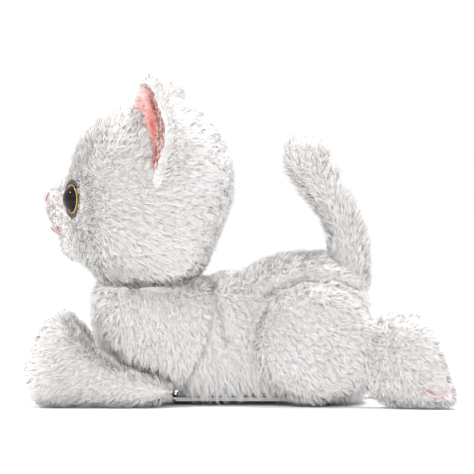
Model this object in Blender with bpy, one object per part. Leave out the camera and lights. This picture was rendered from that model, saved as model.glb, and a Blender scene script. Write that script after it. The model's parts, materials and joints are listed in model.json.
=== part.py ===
"""Interactive plush pet: a lying toy cat with a battery mechanism inside.

The cat faces -Y, +X is its left side and +Z is up. Dimensions are in millimetres.
"""

import math

import bmesh
import bpy
import numpy as np
from mathutils import Matrix, Vector
from mathutils.bvhtree import BVHTree

MM = 0.001
GAP = 0.3

# Where the moving pieces turn.
NECK_AXIS = (0, -62, 0)
NOD_CENTRE = (0, -62, 138)
HEAD_TURN = math.radians(-4)
HIP_CENTRE = (0, 52, 43)
TAIL_ROOT = (0, 77, 86)
DOOR_HINGE = (0, 28, 3)
FRONT_LEG_PIVOT = (36, -50, 0)

# Gears: one module and one pressure angle all through.
MODULE = 1.25
PRESSURE = math.radians(25)
BACKLASH = 0.16

WALL = 2.0
CHASSIS_HALF_X = 27
CHASSIS_Y = (-44, 64)
CHASSIS_Z = (6, 40, 74)
DECK_Y = (-88.5, -42)
HUMP_Y = (22, 60)
HUMP_TOP = 96

SKULL_CENTRE = (0, -64, 150)
SKULL_SEMIS = (50, 42, 48)

MUZZLE = ((0, -112, 138), (28, 26.5, 25))
CHIN = ((0, -111, 111), (20, 18.5, 13))

BEZEL_SCREWS = [(-23, 58.5), (23, 58.5)]

CELL_RADIUS = 7.1
CELL_X = (-15.5, 0, 15.5)
CELL_Z = 14.6

EYE_RADIUS = 9.0
EYE_CENTRE = (33, -116, 144.6)
EYE_TURN = math.radians(29)

# Torso sections along Y: y, bottom, top, half width.
TORSO = [
    (-106, 54, 76, 16),
    (-103, 40, 84, 28),
    (-97, 27, 90, 38),
    (-85, 12, 94, 47),
    (-64, 5, 96, 52),
    (-40, 2.5, 95, 51),
    (-20, 2, 93, 47),
    (0, 1.5, 95, 45),
    (25, 0, 106.5, 47),
    (45, -2.5, 108, 49),
    (60, -2.5, 107, 49),
    (75, -2, 101, 45),
    (85, 8, 91, 36),
    (91.5, 28, 74, 20),
]

# Head sections along Z: z, front, back, half width.
HEAD = [
    (86, -86, -38, 28),
    (90, -101, -30, 44),
    (98, -113, -24, 55),
    (110, -119, -18.5, 63),
    (127, -121, -11.5, 69),
    (146, -122, -5, 71),
    (165, -121, -5, 70),
    (185, -115, -11, 64),
    (200, -103, -19, 52),
    (210, -89, -30, 36),
    (216, -72, -47, 14),
]

# Front leg sections along Y: y, centre, half width, bottom, top.
FRONT_LEG = [
    (-150, 48, 9, 16, 27),
    (-147, 48, 16, 8, 40),
    (-142, 48, 20, 1, 52),
    (-136, 48, 22, -3, 61),
    (-128, 48, 23, -3, 65.5),
    (-120, 48, 22.5, -3, 64),
    (-114, 48, 21.5, -3, 56),
    (-106, 48, 21, -3, 47),
    (-98, 48, 21, -3, 40),
    (-88, 48.5, 20.5, -3, 31),
    (-78, 49.5, 19.5, -3, 26),
    (-64, 51.5, 17.5, -1, 21.5),
    (-52, 53, 14, 4, 18),
    (-44, 54, 8, 8, 13),
]

# The pocket above each front leg: y, inner side, ceiling.
LEG_POCKET = [
    (-112, 12, 69),
    (-102, 12, 50.5),
    (-92, 13, 40),
    (-80, 15, 31.5),
    (-68, 24, 27),
    (-58, 30, 23),
    (-46, 31, 18),
    (-39, 33, 14),
]

# Hind foot sections along Y: y, bottom, top, inner side, outer side.
HIND_FOOT = [
    (82, 14, 58, 45, 58),
    (91, 6, 56, 43, 64),
    (100, 0, 59, 43, 71),
    (110, -3, 64, 44, 77),
    (120, -3, 63, 46, 80),
    (130, -3, 59.5, 49, 82),
    (137, -2, 50, 52, 83),
    (143, -1, 33, 56, 83),
    (148, 0.5, 18, 60, 82),
    (151, 2, 9, 66, 79),
]

# Tail sections along its centre line: y, z, radius.
TAIL = [
    (77, 71, 5.5),
    (77, 75, 11.5),
    (77, 80, 14.8),
    (77, 86, 16),
    (77, 98, 16),
    (76.6, 115, 15.2),
    (72.4, 129, 14.8),
    (66, 141, 14.8),
    (59, 150, 15.2),
    (52.5, 160, 16.4),
    (47.5, 170, 17.6),
    (46.5, 178, 17.2),
    (47, 185, 14),
    (48, 190.5, 7),
]
TAIL_ROD = [(66.2, 86), (74, 87), (77, 93), (76.6, 115), (72.4, 129), (66, 141), (52, 160), (47, 170)]

PLUSH = (0.9, 0.89, 0.9)
PINK = (0.88, 0.42, 0.4)
GREY_PLASTIC = (0.55, 0.56, 0.58)
DARK = (0.03, 0.03, 0.035)
METAL = (0.7, 0.7, 0.72)
GEAR_PLASTIC = (0.85, 0.85, 0.8)
WHITE_PLASTIC = (0.82, 0.82, 0.82)


def clear_scene():
    for obj in list(bpy.data.objects):
        bpy.data.objects.remove(obj, do_unlink=True)


def material(name, colour, roughness, metallic):
    made = bpy.data.materials.new(name)
    made.use_nodes = True
    shader = made.node_tree.nodes["Principled BSDF"]
    shader.inputs["Base Color"].default_value = (*colour, 1)
    shader.inputs["Roughness"].default_value = roughness
    shader.inputs["Metallic"].default_value = metallic
    return made


def mesh_object(name, points, faces):
    """A closed mesh from points in millimetres, with its faces turned outwards."""
    data = bpy.data.meshes.new(name)
    data.from_pydata([Vector(p) * MM for p in points], [], faces)
    work = bmesh.new()
    work.from_mesh(data)
    bmesh.ops.remove_doubles(work, verts=work.verts, dist=1e-7)
    bmesh.ops.recalc_face_normals(work, faces=work.faces)
    work.to_mesh(data)
    work.free()
    obj = bpy.data.objects.new(name, data)
    bpy.context.scene.collection.objects.link(obj)
    return obj


def skin(name, rings):
    """A body through rings of equal length, closed by a fan at each end."""
    count = len(rings[0])
    points = [p for ring in rings for p in ring]
    faces = []
    for r in range(len(rings) - 1):
        for i in range(count):
            j = (i + 1) % count
            a, b = r * count, (r + 1) * count
            faces.append((a + i, a + j, b + j, b + i))
    for r, start in ((0, 0), (len(rings) - 1, (len(rings) - 1) * count)):
        centre = np.mean(np.array(rings[r], float), axis=0)
        points.append(tuple(centre))
        hub = len(points) - 1
        faces += [(start + i, start + (i + 1) % count, hub) for i in range(count)]
    return mesh_object(name, points, faces)


def superellipse(half_a, half_b, count, power):
    ring = []
    for i in range(count):
        t = 2 * math.pi * (i + 0.5) / count
        c, s = math.cos(t), math.sin(t)
        ring.append(
            (
                half_a * math.copysign(abs(c) ** (2 / power), c),
                half_b * math.copysign(abs(s) ** (2 / power), s),
            )
        )
    return ring


def along_y(name, sections, count=24, power=2.5, grow=0.0):
    """sections: y, x centre, half width, bottom, top."""
    rings = []
    for y, centre, half, low, high in sections:
        middle = (low + high) / 2
        outline = superellipse(half + grow, (high - low) / 2 + grow, count, power)
        rings.append([(centre + a, y, middle + b) for a, b in outline])
    return skin(name, rings)


def along_z(name, sections, count=28, power=2.3, grow=0.0):
    """sections: z, front, back, half width."""
    rings = []
    for z, front, back, half in sections:
        outline = superellipse(half + grow, (back - front) / 2 + grow, count, power)
        rings.append([(a, (front + back) / 2 + b, z) for a, b in outline])
    return skin(name, rings)


def box(name, x, y, z):
    points = [(a, b, c) for a in x for b in y for c in z]
    faces = [(0, 1, 3, 2), (4, 6, 7, 5), (0, 4, 5, 1), (2, 3, 7, 6), (0, 2, 6, 4), (1, 5, 7, 3)]
    return mesh_object(name, points, faces)


def turned(name, profile, count, matrix):
    """A solid of revolution about the local Z axis, from (radius, height) pairs."""
    rings = []
    for radius, height in profile:
        ring = []
        for i in range(count):
            t = 2 * math.pi * (i + 0.5) / count
            ring.append(matrix @ Vector((radius * math.cos(t), radius * math.sin(t), height)))
        rings.append([tuple(p) for p in ring])
    return skin(name, rings)


def washer(name, inner, outer, low, high, count, matrix):
    """A ring with a square section about the local Z axis."""
    points = []
    faces = []
    for i in range(count):
        t = 2 * math.pi * (i + 0.5) / count
        rim = outer[i % len(outer)]
        for radius, height in ((inner, low), (rim, low), (rim, high), (inner, high)):
            points.append(tuple(matrix @ Vector((radius * math.cos(t), radius * math.sin(t), height))))
        a, b = 4 * i, 4 * ((i + 1) % count)
        faces += [(a + k, a + (k + 1) % 4, b + (k + 1) % 4, b + k) for k in range(4)]
    return mesh_object(name, points, faces)


def frame_at(origin, axis="Z"):
    turn = {
        "Z": Matrix.Identity(4),
        "X": Matrix.Rotation(math.pi / 2, 4, "Y"),
        "Y": Matrix.Rotation(-math.pi / 2, 4, "X"),
    }[axis]
    return Matrix.Translation(Vector(origin)) @ turn


def cylinder(name, origin, radius, length, count=20, axis="Z"):
    return turned(name, [(radius, 0), (radius, length)], count, frame_at(origin, axis))


def ellipsoid(name, centre, semis, count=20, rows=11, grow=0.0):
    rings = []
    for r in range(rows):
        t = math.pi * (r + 0.5) / rows
        z = centre[2] - (semis[2] + grow) * math.cos(t)
        scale = math.sin(t)
        rings.append(
            [
                (centre[0] + a, centre[1] + b, z)
                for a, b in superellipse((semis[0] + grow) * scale, (semis[1] + grow) * scale, count, 2)
            ]
        )
    return skin(name, rings)


def tube(name, path, radius, count=8):
    """A rod through points of the plane x = 0, each (y, z)."""
    rings = []
    for i, (y, z) in enumerate(path):
        before, after = path[max(i - 1, 0)], path[min(i + 1, len(path) - 1)]
        along = Vector((0, after[0] - before[0], after[1] - before[1])).normalized()
        side = Vector((1, 0, 0))
        up = along.cross(side)
        ring = []
        for k in range(count):
            t = 2 * math.pi * (k + 0.5) / count
            ring.append(tuple(Vector((0, y, z)) + radius * (math.cos(t) * side + math.sin(t) * up)))
        rings.append(ring)
    return skin(name, rings)


def flank_angle(radius, base):
    """The involute's polar angle at this radius."""
    if radius <= base:
        return 0.0
    angle = math.acos(base / radius)
    return math.tan(angle) - angle


def gear_outline(teeth, first, last, aim, hub=None):
    """Points of a gear, or of a sector with teeth number first to last, with tooth 0 centred on aim."""
    pitch = MODULE * teeth / 2
    base = pitch * math.cos(PRESSURE)
    root = pitch - 1.15 * MODULE
    tip = pitch + 0.85 * MODULE
    half = math.pi / (2 * teeth) - BACKLASH / 2 / pitch + flank_angle(pitch, base)
    radii = [root, pitch, tip]
    outline = []
    for n in range(first, last + 1):
        middle = aim + 2 * math.pi * n / teeth
        sides = [(r, half - flank_angle(r, base)) for r in radii]
        outline += [(r, middle - a) for r, a in sides]
        outline += [(r, middle + a) for r, a in reversed(sides)]
    if hub:
        start, end = outline[-1][1], outline[0][1] + 2 * math.pi
        outline += [(hub, start + (end - start) * k / 8) for k in range(1, 8)]
    return [(r * math.cos(a), r * math.sin(a)) for r, a in outline]


def gear(name, matrix, outline, bore, low, high):
    """A gear between two heights of the local Z axis, with its bore cut through."""
    count = len(outline)
    points = [tuple(matrix @ Vector((x, y, low))) for x, y in outline]
    points += [tuple(matrix @ Vector((x, y, high))) for x, y in outline]
    faces = [tuple(range(count)), tuple(range(count, 2 * count))]
    faces += [(i, (i + 1) % count, count + (i + 1) % count, count + i) for i in range(count)]
    body = mesh_object(name, points, faces)
    if bore:
        ends = [(bore, low - 1), (bore, high + 1)]
        cut(body, turned(name + "_bore", ends, 16, matrix))
    return body


def combine(obj, other, operation, solver="EXACT"):
    """Applies one Boolean and removes the other object."""
    modifier = obj.modifiers.new(operation, "BOOLEAN")
    modifier.operation = operation
    modifier.solver = solver
    modifier.object = other
    graph = bpy.context.evaluated_depsgraph_get()
    result = bpy.data.meshes.new_from_object(obj.evaluated_get(graph))
    obj.modifiers.clear()
    obj.data = result
    bpy.data.objects.remove(other, do_unlink=True)
    return obj


def cut(obj, *others):
    for other in others:
        combine(obj, other, "DIFFERENCE")
    return obj


def join(obj, *others):
    for other in others:
        combine(obj, other, "UNION")
    return obj


def mirrored(name, obj):
    copy = bpy.data.objects.new(name, obj.data.copy())
    bpy.context.scene.collection.objects.link(copy)
    copy.data.transform(Matrix.Scale(-1, 4, (1, 0, 0)))
    copy.data.flip_normals()
    return copy


def finish(obj, colour, roughness=0.5, metallic=0.0, pivot=None, smooth=40):
    """Gives the object its material, shading and origin."""
    obj.data.materials.clear()
    obj.data.materials.append(material(obj.name, colour, roughness, metallic))
    obj.data.shade_smooth()
    obj.data.set_sharp_from_angle(angle=math.radians(smooth))
    if pivot:
        offset = Vector(pivot) * MM
        obj.data.transform(Matrix.Translation(-offset))
        obj.location = offset
    return obj


def turn_with_head(objects):
    """Turns the head's pieces to the rest pose, looking a little to the right."""
    centre = Matrix.Translation(Vector(NECK_AXIS) * MM)
    turn = centre @ Matrix.Rotation(HEAD_TURN, 4, "Z") @ centre.inverted()
    for obj in objects:
        origin = turn @ obj.location if obj.location.length > 0 else Vector()
        obj.data.transform(Matrix.Translation(-origin) @ turn @ Matrix.Translation(obj.location))
        obj.location = origin


def floor_cut(obj):
    """Leaves a flat resting face at z = 0."""
    return cut(obj, box("floor", (-200, 200), (-200, 200), (-30, 0)))


def build_torso():
    body = along_y("torso_plush", [(y, 0, half, low, high) for y, low, high, half in TORSO], 28, 2.8)
    floor_cut(body)
    cut(body, ellipsoid("head_dish", (0, -62, 141), (78, 73, 65), 24, 13))
    for side in (-1, 1):
        rings = []
        for y, inner, ceiling in LEG_POCKET:
            corners = [(inner, -8), (90, -8), (90, ceiling), (inner + 4, ceiling), (inner, ceiling - 5)]
            rings.append([(side * x, y, z) for x, z in corners])
        cut(body, skin("leg_pocket", rings))
        start = 37.4 if side > 0 else -77.4
        cut(body, cylinder("thigh_recess", (start, *HIP_CENTRE[1:]), 43, 40, 28, "X"))
    x = CHASSIS_HALF_X + 0.5
    cut(
        body,
        box("chassis_room", (-x, x), (CHASSIS_Y[0] - 0.5, CHASSIS_Y[1] + 0.5), (-5, CHASSIS_Z[2] + 0.5)),
        box("deck_room", (-x, x), (DECK_Y[0] - 0.5, -40), (52.5, CHASSIS_Z[2] + 0.5)),
        box("hump_room", (-22.5, 22.5), (HUMP_Y[0] - 0.5, HUMP_Y[1] + 0.5), (60, HUMP_TOP + 0.5)),
        box("bezel_room", (-31, 31), (-46, 63), (-5, 5.8)),
        cylinder("neck_hole", (*NECK_AXIS[:2], 60), 12, 60),
        cylinder("button_well", (0, 0, 60), 9.6, 60),
        cylinder("shaft_hole", (0, 50, 86), 4, 20, 12, "Y"),
    )
    rings = []
    for z, half_x, half_y in (
        (69.6, 3, 3),
        (72, 9, 9),
        (76, 13.5, 13.5),
        (81, 16.3, 16.3),
        (86, 17.2, 16.8),
        (96, 21.5, 17),
        (112, 28, 17.5),
    ):
        outline = superellipse(half_x, half_y, 24, 2)
        rings.append([(a, TAIL_ROOT[1] + b, z) for a, b in outline])
    cut(body, skin("tail_recess", rings))
    finish(body, PLUSH, 0.9)


def build_front_legs():
    leg = floor_cut(along_y("front_leg_left", FRONT_LEG, 16, 2.4))
    stitches = box("toe_stitch_left", (47, 48.4), (-153, -120), (24, 37))
    outer = [(y - 1.0, centre, half + 0.8, low, high) for y, centre, half, low, high in FRONT_LEG]
    combine(stitches, along_y("outer", outer, 16, 2.4, 0.8), "INTERSECT")
    cut(stitches, along_y("inner", FRONT_LEG, 16, 2.4, GAP))
    right = mirrored("front_leg_right", leg)
    right_stitches = mirrored("toe_stitch_right", stitches)
    x, y, z = FRONT_LEG_PIVOT
    finish(leg, PLUSH, 0.9, pivot=(x, y, z))
    finish(right, PLUSH, 0.9, pivot=(-x, y, z))
    finish(stitches, PINK, 0.6, pivot=(x, y, z))
    finish(right_stitches, PINK, 0.6, pivot=(-x, y, z))


def build_hind_legs():
    profile = [(36, 0), (40.5, 3), (42, 8), (41, 14), (36, 19.5), (26, 23.5), (12, 25.5)]
    leg = turned("hind_leg_left", profile, 24, frame_at((38, *HIP_CENTRE[1:]), "X"))
    sections = [(y, (a + b) / 2, (b - a) / 2, low, high) for y, low, high, a, b in HIND_FOOT]
    foot = along_y("foot", sections, 16, 2.3)
    floor_cut(join(leg, foot))
    surface = BVHTree.FromObject(leg, bpy.context.evaluated_depsgraph_get())
    rings = []
    for i in range(9):
        y = 126 + 2.5 * i
        z = 9.5 + 5 * ((y - 136) / 10) ** 2
        x = surface.ray_cast(Vector((150, y, z)) * MM, Vector((-1, 0, 0)))[0].x / MM + 0.4
        rings.append([(x, y, z - 0.7), (x + 1, y, z - 0.6), (x + 1, y, z + 0.6), (x, y, z + 0.7)])
    stitch = skin("sole_stitch_left", rings)
    right = mirrored("hind_leg_right", leg)
    right_stitch = mirrored("sole_stitch_right", stitch)
    for obj, side in ((leg, 1), (stitch, 1), (right, -1), (right_stitch, -1)):
        colour = PINK if "stitch" in obj.name else PLUSH
        finish(obj, colour, 0.9, pivot=(side * 50, *HIP_CENTRE[1:]))


def build_tail():
    sections = []
    for i, (y, z, radius) in enumerate(TAIL):
        before, after = TAIL[max(i - 1, 0)], TAIL[min(i + 1, len(TAIL) - 1)]
        along = Vector((0, after[0] - before[0], after[1] - before[1])).normalized()
        if i < 4:
            along = Vector((0, 0, 1))
        back = Vector((1, 0, 0)).cross(along)
        ring = []
        for a, b in superellipse(radius, radius, 16, 2):
            ring.append(tuple(Vector((a, y, z)) - b * back))
        sections.append(ring)
    tail = skin("tail_plush", sections)
    tunnel = [(55, 86)] + TAIL_ROD[1:-1] + [(46.5, 171.5)]
    cut(tail, tube("tunnel", tunnel, 3.4))
    finish(tail, PLUSH, 0.9, pivot=TAIL_ROOT)
    finish(tube("tail_armature", TAIL_ROD, 2.6), METAL, 0.4, 0.8, pivot=TAIL_ROOT)


def eye_frame():
    turn = Matrix.Rotation(EYE_TURN, 4, "Z") @ Matrix.Rotation(math.pi / 2, 4, "X")
    return Matrix.Translation(Vector(EYE_CENTRE)) @ turn


def build_head():
    head = along_z("head_plush", HEAD, 26, 2.35)
    cut(
        head,
        ellipsoid("skull_room", SKULL_CENTRE, SKULL_SEMIS, 20, 11, 0.6),
        along_z("neck_room", [(70, -88, -36, 25), (118, -86, -38, 25)], 24, 3),
        cylinder("button_well", (0, -50, 190), 8.6, 40),
    )
    outer = [(z, front - GAP, back + GAP, half + GAP) for z, front, back, half in HEAD]

    muzzle = join(ellipsoid("muzzle_plush", *MUZZLE, 20, 11), ellipsoid("chin", *CHIN, 20, 11))
    cut(muzzle, along_z("face", outer, 26, 2.35))
    nose = ellipsoid("nose", (0, -136.4, 145), (6.5, 3.2, 4), 12, 7)
    cut(nose, ellipsoid("muzzle_skin", *MUZZLE, 20, 11, GAP))
    rings = []
    for i in range(11):
        x = -15 + 3 * i
        z = 122.5 - 3.2 * abs(math.sin(math.pi * x / 15))
        rings.append([(x, -120, z), (x, -145, z), (x, -145, z + 1.3), (x, -120, z + 1.3)])
    mouth = skin("mouth_stitch", rings)
    combine(mouth, ellipsoid("lip", *MUZZLE, 20, 11, 1.1), "INTERSECT")
    cut(mouth, ellipsoid("muzzle_skin", *MUZZLE, 20, 11, GAP))

    at_eye = eye_frame()
    dome = [(EYE_RADIUS, -8), (EYE_RADIUS, 0.8), (8.3, 2.8), (6.2, 4.6), (3.2, 5.7)]
    eye = turned("eye_left", dome, 20, at_eye)
    rim = washer("eye_ring_left", EYE_RADIUS + GAP, [EYE_RADIUS + 1.5], 0.1, 1.7, 20, at_eye)
    scallops = [13.4, 12.4]
    backing = washer("eye_backing_left", EYE_RADIUS + GAP, scallops, -1.2, -0.2, 20, at_eye)
    for side in (1, -1):
        place = at_eye if side > 0 else Matrix.Scale(-1, 4, (1, 0, 0)) @ at_eye
        socket = [(EYE_RADIUS + GAP, -8.4), (EYE_RADIUS + GAP, -1.5), (13.9, -1.5), (13.9, 14)]
        combine(head, turned("eye_socket", socket, 20, place), "DIFFERENCE", "MANIFOLD")
        combine(muzzle, turned("eye_socket", socket, 20, place), "DIFFERENCE", "MANIFOLD")
    eyes = [eye, rim, backing]
    eyes += [mirrored(obj.name.replace("left", "right"), obj) for obj in eyes]

    ears = build_ears(outer)
    skull = build_skull()
    finish(head, PLUSH, 0.9, pivot=NOD_CENTRE)
    finish(muzzle, PLUSH, 0.9)
    finish(nose, PINK, 0.7)
    finish(mouth, (0.55, 0.28, 0.3), 0.8)
    for obj in eyes:
        if "backing" in obj.name:
            finish(obj, (0.07, 0.055, 0.05), 0.95)
        elif "ring" in obj.name:
            finish(obj, (0.72, 0.5, 0.2), 0.3, 0.9)
        else:
            finish(obj, DARK, 0.05)
    button = turned("head_button", [(2.5, 193), (2.5, 204), (8, 204), (8, 208.5)], 16, frame_at((0, -50, 0)))
    finish(button, GREY_PLASTIC)
    turn_with_head([head, muzzle, nose, mouth, button, *eyes, *ears, *skull])


def ear_shell(name, inset, thick, depth, layers):
    """A rounded leaf that faces forward inside and sideways outside, swelling backwards layer by layer."""
    corners = [Vector((28, 210)), Vector((70, 142)), Vector((82.5, 190)), Vector((70, 236))]
    middle = sum(corners, Vector((0, 0))) / 4
    outline = []
    for i in range(4):
        a, b, c = corners[i - 1], corners[i], corners[(i + 1) % 4]
        start = b.lerp(a, 0.24)
        end = b.lerp(c, 0.24)
        outline += [start, start.lerp(end, 0.5).lerp(b, 0.35), end, b.lerp(c, 0.5)]
    rings = []
    for scale, back in layers:
        ring = []
        for p in outline:
            flat = middle + (p - middle) * scale * inset
            y = -74 + 0.2 * (flat.x - 38) + 0.034 * max(flat.x - 58, 0) ** 2 + depth + thick * back
            ring.append((flat.x, y, flat.y))
        rings.append(ring)
    return skin(name, rings)


def build_ears(head_outline):
    rim = [(0.86, 0.0), (1.0, 0.14), (1.02, 0.3)]
    ear = ear_shell("ear_left", 1.0, 17, 3, rim + [(0.94, 0.52), (0.76, 0.76), (0.5, 0.93), (0.22, 1.0)])
    cup = [(1.06, -0.6), (1.0, 0.1), (0.88, 0.55), (0.6, 0.9), (0.25, 1.0)]
    cut(ear, ear_shell("cup", 0.86, 11.5, 3, cup))
    combine(ear, along_z("head_side", head_outline, 26, 2.35), "DIFFERENCE", "MANIFOLD")
    bowl = [(1.0, 0.1), (0.88, 0.55), (0.6, 0.9), (0.25, 1.0)]
    lining = ear_shell("ear_lining_left", 0.84, 10.9, 3, bowl)
    combine(lining, ear_shell("hollow", 0.77, 8.2, 2.6, cup), "DIFFERENCE", "MANIFOLD")
    combine(lining, along_z("head_side", head_outline, 26, 2.35, GAP), "DIFFERENCE", "MANIFOLD")
    right = mirrored("ear_right", ear)
    right_lining = mirrored("ear_lining_right", lining)
    finish(ear, PLUSH, 0.9)
    finish(right, PLUSH, 0.9)
    finish(lining, PINK, 0.9)
    finish(right_lining, PINK, 0.9)
    return [ear, right, lining, right_lining]


def build_skull():
    x, y, z = SKULL_CENTRE
    halves = []
    for name, low, high in (("skull_front", -200, y - GAP / 2), ("skull_back", y + GAP / 2, 100)):
        shell = ellipsoid(name, SKULL_CENTRE, SKULL_SEMIS)
        combine(shell, box("half", (-80, 80), (low, high), (60, 230)), "INTERSECT")
        cut(
            shell,
            ellipsoid("hollow", SKULL_CENTRE, SKULL_SEMIS, 20, 11, -WALL),
            box("neck_opening", (-24.6, 24.6), (-85, -39), (80, 122)),
        )
        if name == "skull_back":
            cut(shell, cylinder("stem_hole", (0, -50, 180), 3.1, 30, 16))
        finish(shell, GREY_PLASTIC)
        halves.append(shell)

    axle = cylinder("nod_axle", (-44.5, *NOD_CENTRE[1:]), 2.0, 89, 16, "X")
    finish(axle, METAL, 0.3, 0.9, pivot=NOD_CENTRE)
    aim = math.atan2(0, 1)
    outline = gear_outline(30, -2, 2, aim, 5.5)
    sector = gear("nod_sector", frame_at((0, *NOD_CENTRE[1:]), "X"), outline, 2.3, 17, 20.5)
    finish(sector, GEAR_PLASTIC, 0.6, pivot=NOD_CENTRE)

    spigot = [(4, 53), (4, 57.4), (9, 57.4)]
    flange = [(9, 69), (13, 69), (13, 71.5), (9, 71.5)]
    neck = [(9, 100), (15, 100), (15, 101.6)]
    post = turned("neck_post", spigot + flange + neck, 24, frame_at(NECK_AXIS))
    join(
        post,
        box("platform", (-16, 16), (-71, -53), (100.4, 102.8)),
        box("cheek_left", (13.2, 16), (-68, -56), (101, 144)),
        box("cheek_right", (-16, -13.2), (-68, -56), (101, 144)),
    )
    cut(
        post,
        cylinder("axle_hole", (-20, *NOD_CENTRE[1:]), 2.1, 40, 24, "X"),
        cylinder("shaft_way", (10, -62, 111.75), 3, 10, 12, "X"),
    )
    finish(post, GREY_PLASTIC, pivot=NECK_AXIS)

    pinion_at = (0, -62, 138 - 26.25)
    outline = gear_outline(12, 0, 11, math.pi + math.pi / 12)
    pinion = gear("nod_pinion", frame_at(pinion_at, "X"), outline, 1.1, 17, 20.5)
    finish(pinion, GEAR_PLASTIC, 0.6, pivot=pinion_at)
    motor = motor_body("nod_motor", (-12.6, -62, 111.75), 8.6, 25, 34, "X")

    teeth = gear_outline(36, -4, 4, math.pi / 2 - HEAD_TURN, 12)
    neck_gear = gear("neck_gear", frame_at(NECK_AXIS), teeth, 9.3, 62, 67.5)
    finish(neck_gear, GEAR_PLASTIC, 0.6, pivot=NECK_AXIS)
    return [*halves, axle, sector, post, pinion, motor, neck_gear]


def motor_body(name, origin, radius, length, shaft_end, axis):
    """A can motor with its shaft."""
    profile = [(radius, 0), (radius, length), (1.0, length), (1.0, shaft_end)]
    motor = turned(name, profile, 16, frame_at(origin, axis))
    return finish(motor, METAL, 0.35, 0.9)


def build_drive_train():
    motor_body("yaw_motor", (0, -32, 34), 8.8, 25, 36, "Z")
    outline = gear_outline(12, 0, 11, -math.pi / 2 + math.pi / 12)
    pinion = gear("yaw_pinion", frame_at((0, -32, 0)), outline, 1.1, 61.5, 68)
    finish(pinion, GEAR_PLASTIC, 0.6, pivot=(0, -32, 0))
    motor_body("tail_motor", (0, 23.5, 63.5), 8.6, 25, 31.5, "Y")
    down = frame_at((0, 0, 63.5), "Y")
    outline = gear_outline(12, 0, 11, -math.pi / 2 + math.pi / 12)
    pinion = gear("tail_pinion", down, outline, 1.1, 50.5, 54)
    finish(pinion, GEAR_PLASTIC, 0.6, pivot=(0, 52, 63.5))
    at_shaft = frame_at((0, 0, 86), "Y")
    sector = gear("tail_sector", at_shaft, gear_outline(24, -2, 2, math.pi / 2, 5.0), None, 50.5, 54)
    join(sector, cylinder("shaft", (0, 53, 86), 2.4, 12.8, 20, "Y"))
    finish(sector, GEAR_PLASTIC, 0.6, pivot=TAIL_ROOT)


def build_chassis():
    half = CHASSIS_HALF_X
    inner = half - WALL
    lower = box("chassis_lower", (-half, half), CHASSIS_Y, CHASSIS_Z[:2])
    cut(
        lower,
        box("upper_room", (-inner, inner), (-42, 26), (25.5, 50)),
        box("rear_room", (-inner, inner), (30, 62), (8, 50)),
        box("battery_bay", (-inner, inner), (-38, 28), (0, 24)),
        cylinder("sound_hole", (-11, 45, 0), 10, 20, 16),
        box("switch_slot", (14, 22), (38, 51), (0, 20)),
    )
    for x, y in BEZEL_SCREWS:
        cut(lower, cylinder("screw_hole", (x, y, 0), 1.5, 12.5, 10))
    finish(lower, GREY_PLASTIC)

    upper = box("chassis_upper", (-half, half), CHASSIS_Y, (CHASSIS_Z[1] + GAP, CHASSIS_Z[2]))
    join(
        upper,
        box("deck", (-half, half), DECK_Y, (53.9, CHASSIS_Z[2])),
        box("hump", (-22, 22), HUMP_Y, (70, HUMP_TOP)),
    )
    top = CHASSIS_Z[2] - WALL
    cut(
        upper,
        box("main_room", (-inner, inner), (-42, 62), (30, top)),
        box("deck_room", (-inner, inner), (DECK_Y[0] + WALL, -30), (50, top)),
        box("hump_room", (-20, 20), (HUMP_Y[0] + WALL, HUMP_Y[1] - WALL), (60, HUMP_TOP - WALL)),
        cylinder("neck_bearing", (*NECK_AXIS[:2], 60), 9.15, 30, 32),
        cylinder("tail_bearing", (0, 50, 86), 2.52, 20, 24, "Y"),
        cylinder("button_hole", (0, 0, 60), 3.1, 30, 16),
    )
    finish(upper, GREY_PLASTIC)

    plate = box("neck_plate", (-24.6, 24.6), (-86.1, -42.3), (54, 56.2))
    cut(plate, cylinder("spigot_hole", (*NECK_AXIS[:2], 40), 4.15, 30, 24))
    finish(plate, GREY_PLASTIC)


def build_belly():
    bezel = box("belly_bezel", (-30.5, 30.5), (-45.5, 62.5), (3, 5.6))
    cut(
        bezel,
        box("door_opening", (-25.3, 25.3), (-38.3, 28), (0, 10)),
        box("knob_slot", (14.7, 21.3), (37.7, 51.3), (0, 10)),
    )
    for i in range(5):
        y = 37 + 4 * i
        reach = math.sqrt(81 - (y - 45) ** 2)
        cut(bezel, box("sound_slot", (-11 - reach, -11 + reach), (y - 0.9, y + 0.9), (0, 10)))
    for number, (x, y) in enumerate(BEZEL_SCREWS):
        cut(
            bezel,
            cylinder("screw_seat", (x, y, 0), 2.6, 4.7, 12),
            cylinder("screw_shank", (x, y, 0), 1.5, 9, 10),
        )
        profile = [(2.3, 3.2), (2.3, 4.4), (1.0, 4.4), (1.0, 11.8)]
        screw = turned("bezel_screw_%d" % (number + 1), profile, 10, frame_at((x, y, 0)))
        finish(screw, METAL, 0.35, 0.9)
    finish(bezel, WHITE_PLASTIC)

    door = box("battery_door", (-25, 25), (-38, 27.7), (3, 5))
    for i in range(4):
        cut(door, box("grip", (-10, 10), (-33 + 3 * i, -31.6 + 3 * i), (2, 3.6)))
    at_screw = frame_at((0, -35.2, 0))
    cut(door, turned("screw_hole", [(2.3, 0), (2.3, 4), (1.5, 4), (1.5, 10)], 10, at_screw))
    finish(door, WHITE_PLASTIC, pivot=DOOR_HINGE)
    screw = turned("door_screw", [(2.0, 3.1), (2.0, 3.7), (1.0, 3.7), (1.0, 6.5)], 10, at_screw)
    finish(screw, METAL, 0.35, 0.9, pivot=DOOR_HINGE)

    body = box("switch_body", (12, 24), (36, 54), (8.3, 15))
    cut(body, box("slider_room", (14.6, 21.4), (37.6, 51.4), (8, 12)))
    finish(body, DARK, 0.5)
    knob = box("power_switch", (15, 21), (38.6, 45.6), (8.6, 11.7))
    join(knob, box("knob", (15.6, 20.4), (40, 44.2), (1.8, 9)))
    finish(knob, DARK, 0.5)


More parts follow.
